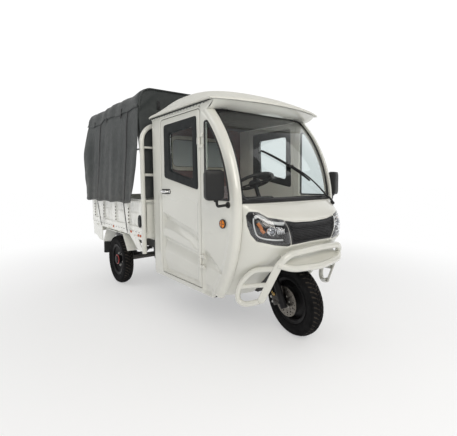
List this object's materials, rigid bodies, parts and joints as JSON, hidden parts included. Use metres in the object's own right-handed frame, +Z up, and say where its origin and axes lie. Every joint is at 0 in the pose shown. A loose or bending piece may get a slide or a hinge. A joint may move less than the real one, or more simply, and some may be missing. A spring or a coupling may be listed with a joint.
{
  "type": "electric cargo tricycle",
  "caption": "Enclosed-cab electric cargo tricycle: white rounded cab with hinged doors, single steered front wheel, and a flat load bed under a dark tarpaulin canopy.",
  "frame": {"origin": "on the ground under the middle of the vehicle's bounding box", "axes": "+X forward, +Y to the driver's left, +Z up"},
  "size_m": [3.0982, 1.3828, 1.9677],
  "materials": {
    "white_paint": "gloss",
    "frame_paint": "satin",
    "bed_paint": "gloss",
    "tarp_cloth": "coated canvas",
    "tyre_rubber": "matt",
    "rim_black": "gloss",
    "steel": "turned",
    "cast_grey": "cast",
    "alloy": "satin",
    "spring_steel": "satin",
    "clear_glass": "polished",
    "lamp_glass": "polished",
    "lamp_red": "polished",
    "lamp_amber": "polished",
    "black_plastic": "grained",
    "black_trim": "satin",
    "chrome": "polished",
    "seat_vinyl": "grained",
    "battery_case": "moulded",
    "flap_rubber": "matt"
  },
  "bodies": {
    "chassis": {"chassis_frame": "frame_paint", "rear_axle": "cast_grey", "drive_motor": "alloy", "leaf_springs": "spring_steel", "bed_floor": "bed_paint", "bed_sides": "bed_paint", "bed_front_board": "bed_paint", "headboard_guard": "white_paint", "canopy_frame": "white_paint", "tarpaulin": "tarp_cloth", "rear_fenders": "bed_paint", "mud_flaps": "flap_rubber", "bed_skirts": "bed_paint", "rear_light_bar": "bed_paint", "tail_lamps": "lamp_red", "cab_floor": "white_paint", "cab_sides": "white_paint", "windscreen_frame": "white_paint", "cab_rear_wall": "white_paint", "cab_glass": "clear_glass", "windscreen": "clear_glass", "roof": "white_paint", "nose_fascia": "white_paint", "headlamps": "lamp_glass", "grille": "black_trim", "front_bumper": "white_paint", "dashboard": "black_plastic", "seat_base": "black_plastic", "seat_cushions": "seat_vinyl", "battery_pack": "battery_case", "mirrors": "black_plastic", "side_indicators": "lamp_amber", "wiper": "black_plastic"},
    "door_left": {"door_panel_left": "white_paint", "door_surround_left": "black_trim", "door_glass_left": "clear_glass", "door_handle_left": "chrome"},
    "door_right": {"door_panel_right": "white_paint", "door_surround_right": "black_trim", "door_glass_right": "clear_glass", "door_handle_right": "chrome"},
    "tailgate": {"tailgate": "bed_paint"},
    "steering": {"front_fork": "frame_paint", "steering_wheel": "black_plastic", "brake_caliper": "alloy"},
    "front_wheel": {"front_rim": "rim_black", "front_tyre": "tyre_rubber", "brake_disc": "steel"},
    "rear_wheel_left": {"rear_rim_left": "rim_black", "rear_tyre_left": "tyre_rubber"},
    "rear_wheel_right": {"rear_rim_right": "rim_black", "rear_tyre_right": "tyre_rubber"}
  },
  "joints": [
    {"name": "door_left_hinge", "type": "hinge", "parent": "chassis", "child": "door_left", "pos_m": [0.865, 0.526, 0.97], "axis": [0, 0, -1], "range_deg": [0, 70]},
    {"name": "door_right_hinge", "type": "hinge", "parent": "chassis", "child": "door_right", "pos_m": [0.865, -0.526, 0.97], "axis": [0, 0, 1], "range_deg": [0, 70]},
    {"name": "tailgate_hinge", "type": "hinge", "parent": "chassis", "child": "tailgate", "pos_m": [-1.528, 0, 0.632], "axis": [0, -1, 0], "range_deg": [0, 170]},
    {"name": "steering", "type": "hinge", "parent": "chassis", "child": "steering", "pos_m": [1.08163, 0, 0.62942], "axis": [-0.4067, 0, 0.9135], "range_deg": [-31, 49]},
    {"name": "front_wheel_spin", "type": "hinge", "parent": "steering", "child": "front_wheel", "pos_m": [1.28855, -0.00626, 0.2618], "axis": [0.1429, 0.9877, 0.0636], "continuous": true},
    {"name": "rear_wheel_left_spin", "type": "hinge", "parent": "chassis", "child": "rear_wheel_left", "pos_m": [-0.771, 0.505, 0.262], "axis": [0, 1, 0], "continuous": true},
    {"name": "rear_wheel_right_spin", "type": "hinge", "parent": "chassis", "child": "rear_wheel_right", "pos_m": [-0.771, -0.505, 0.262], "axis": [0, 1, 0], "continuous": true}
  ]
}
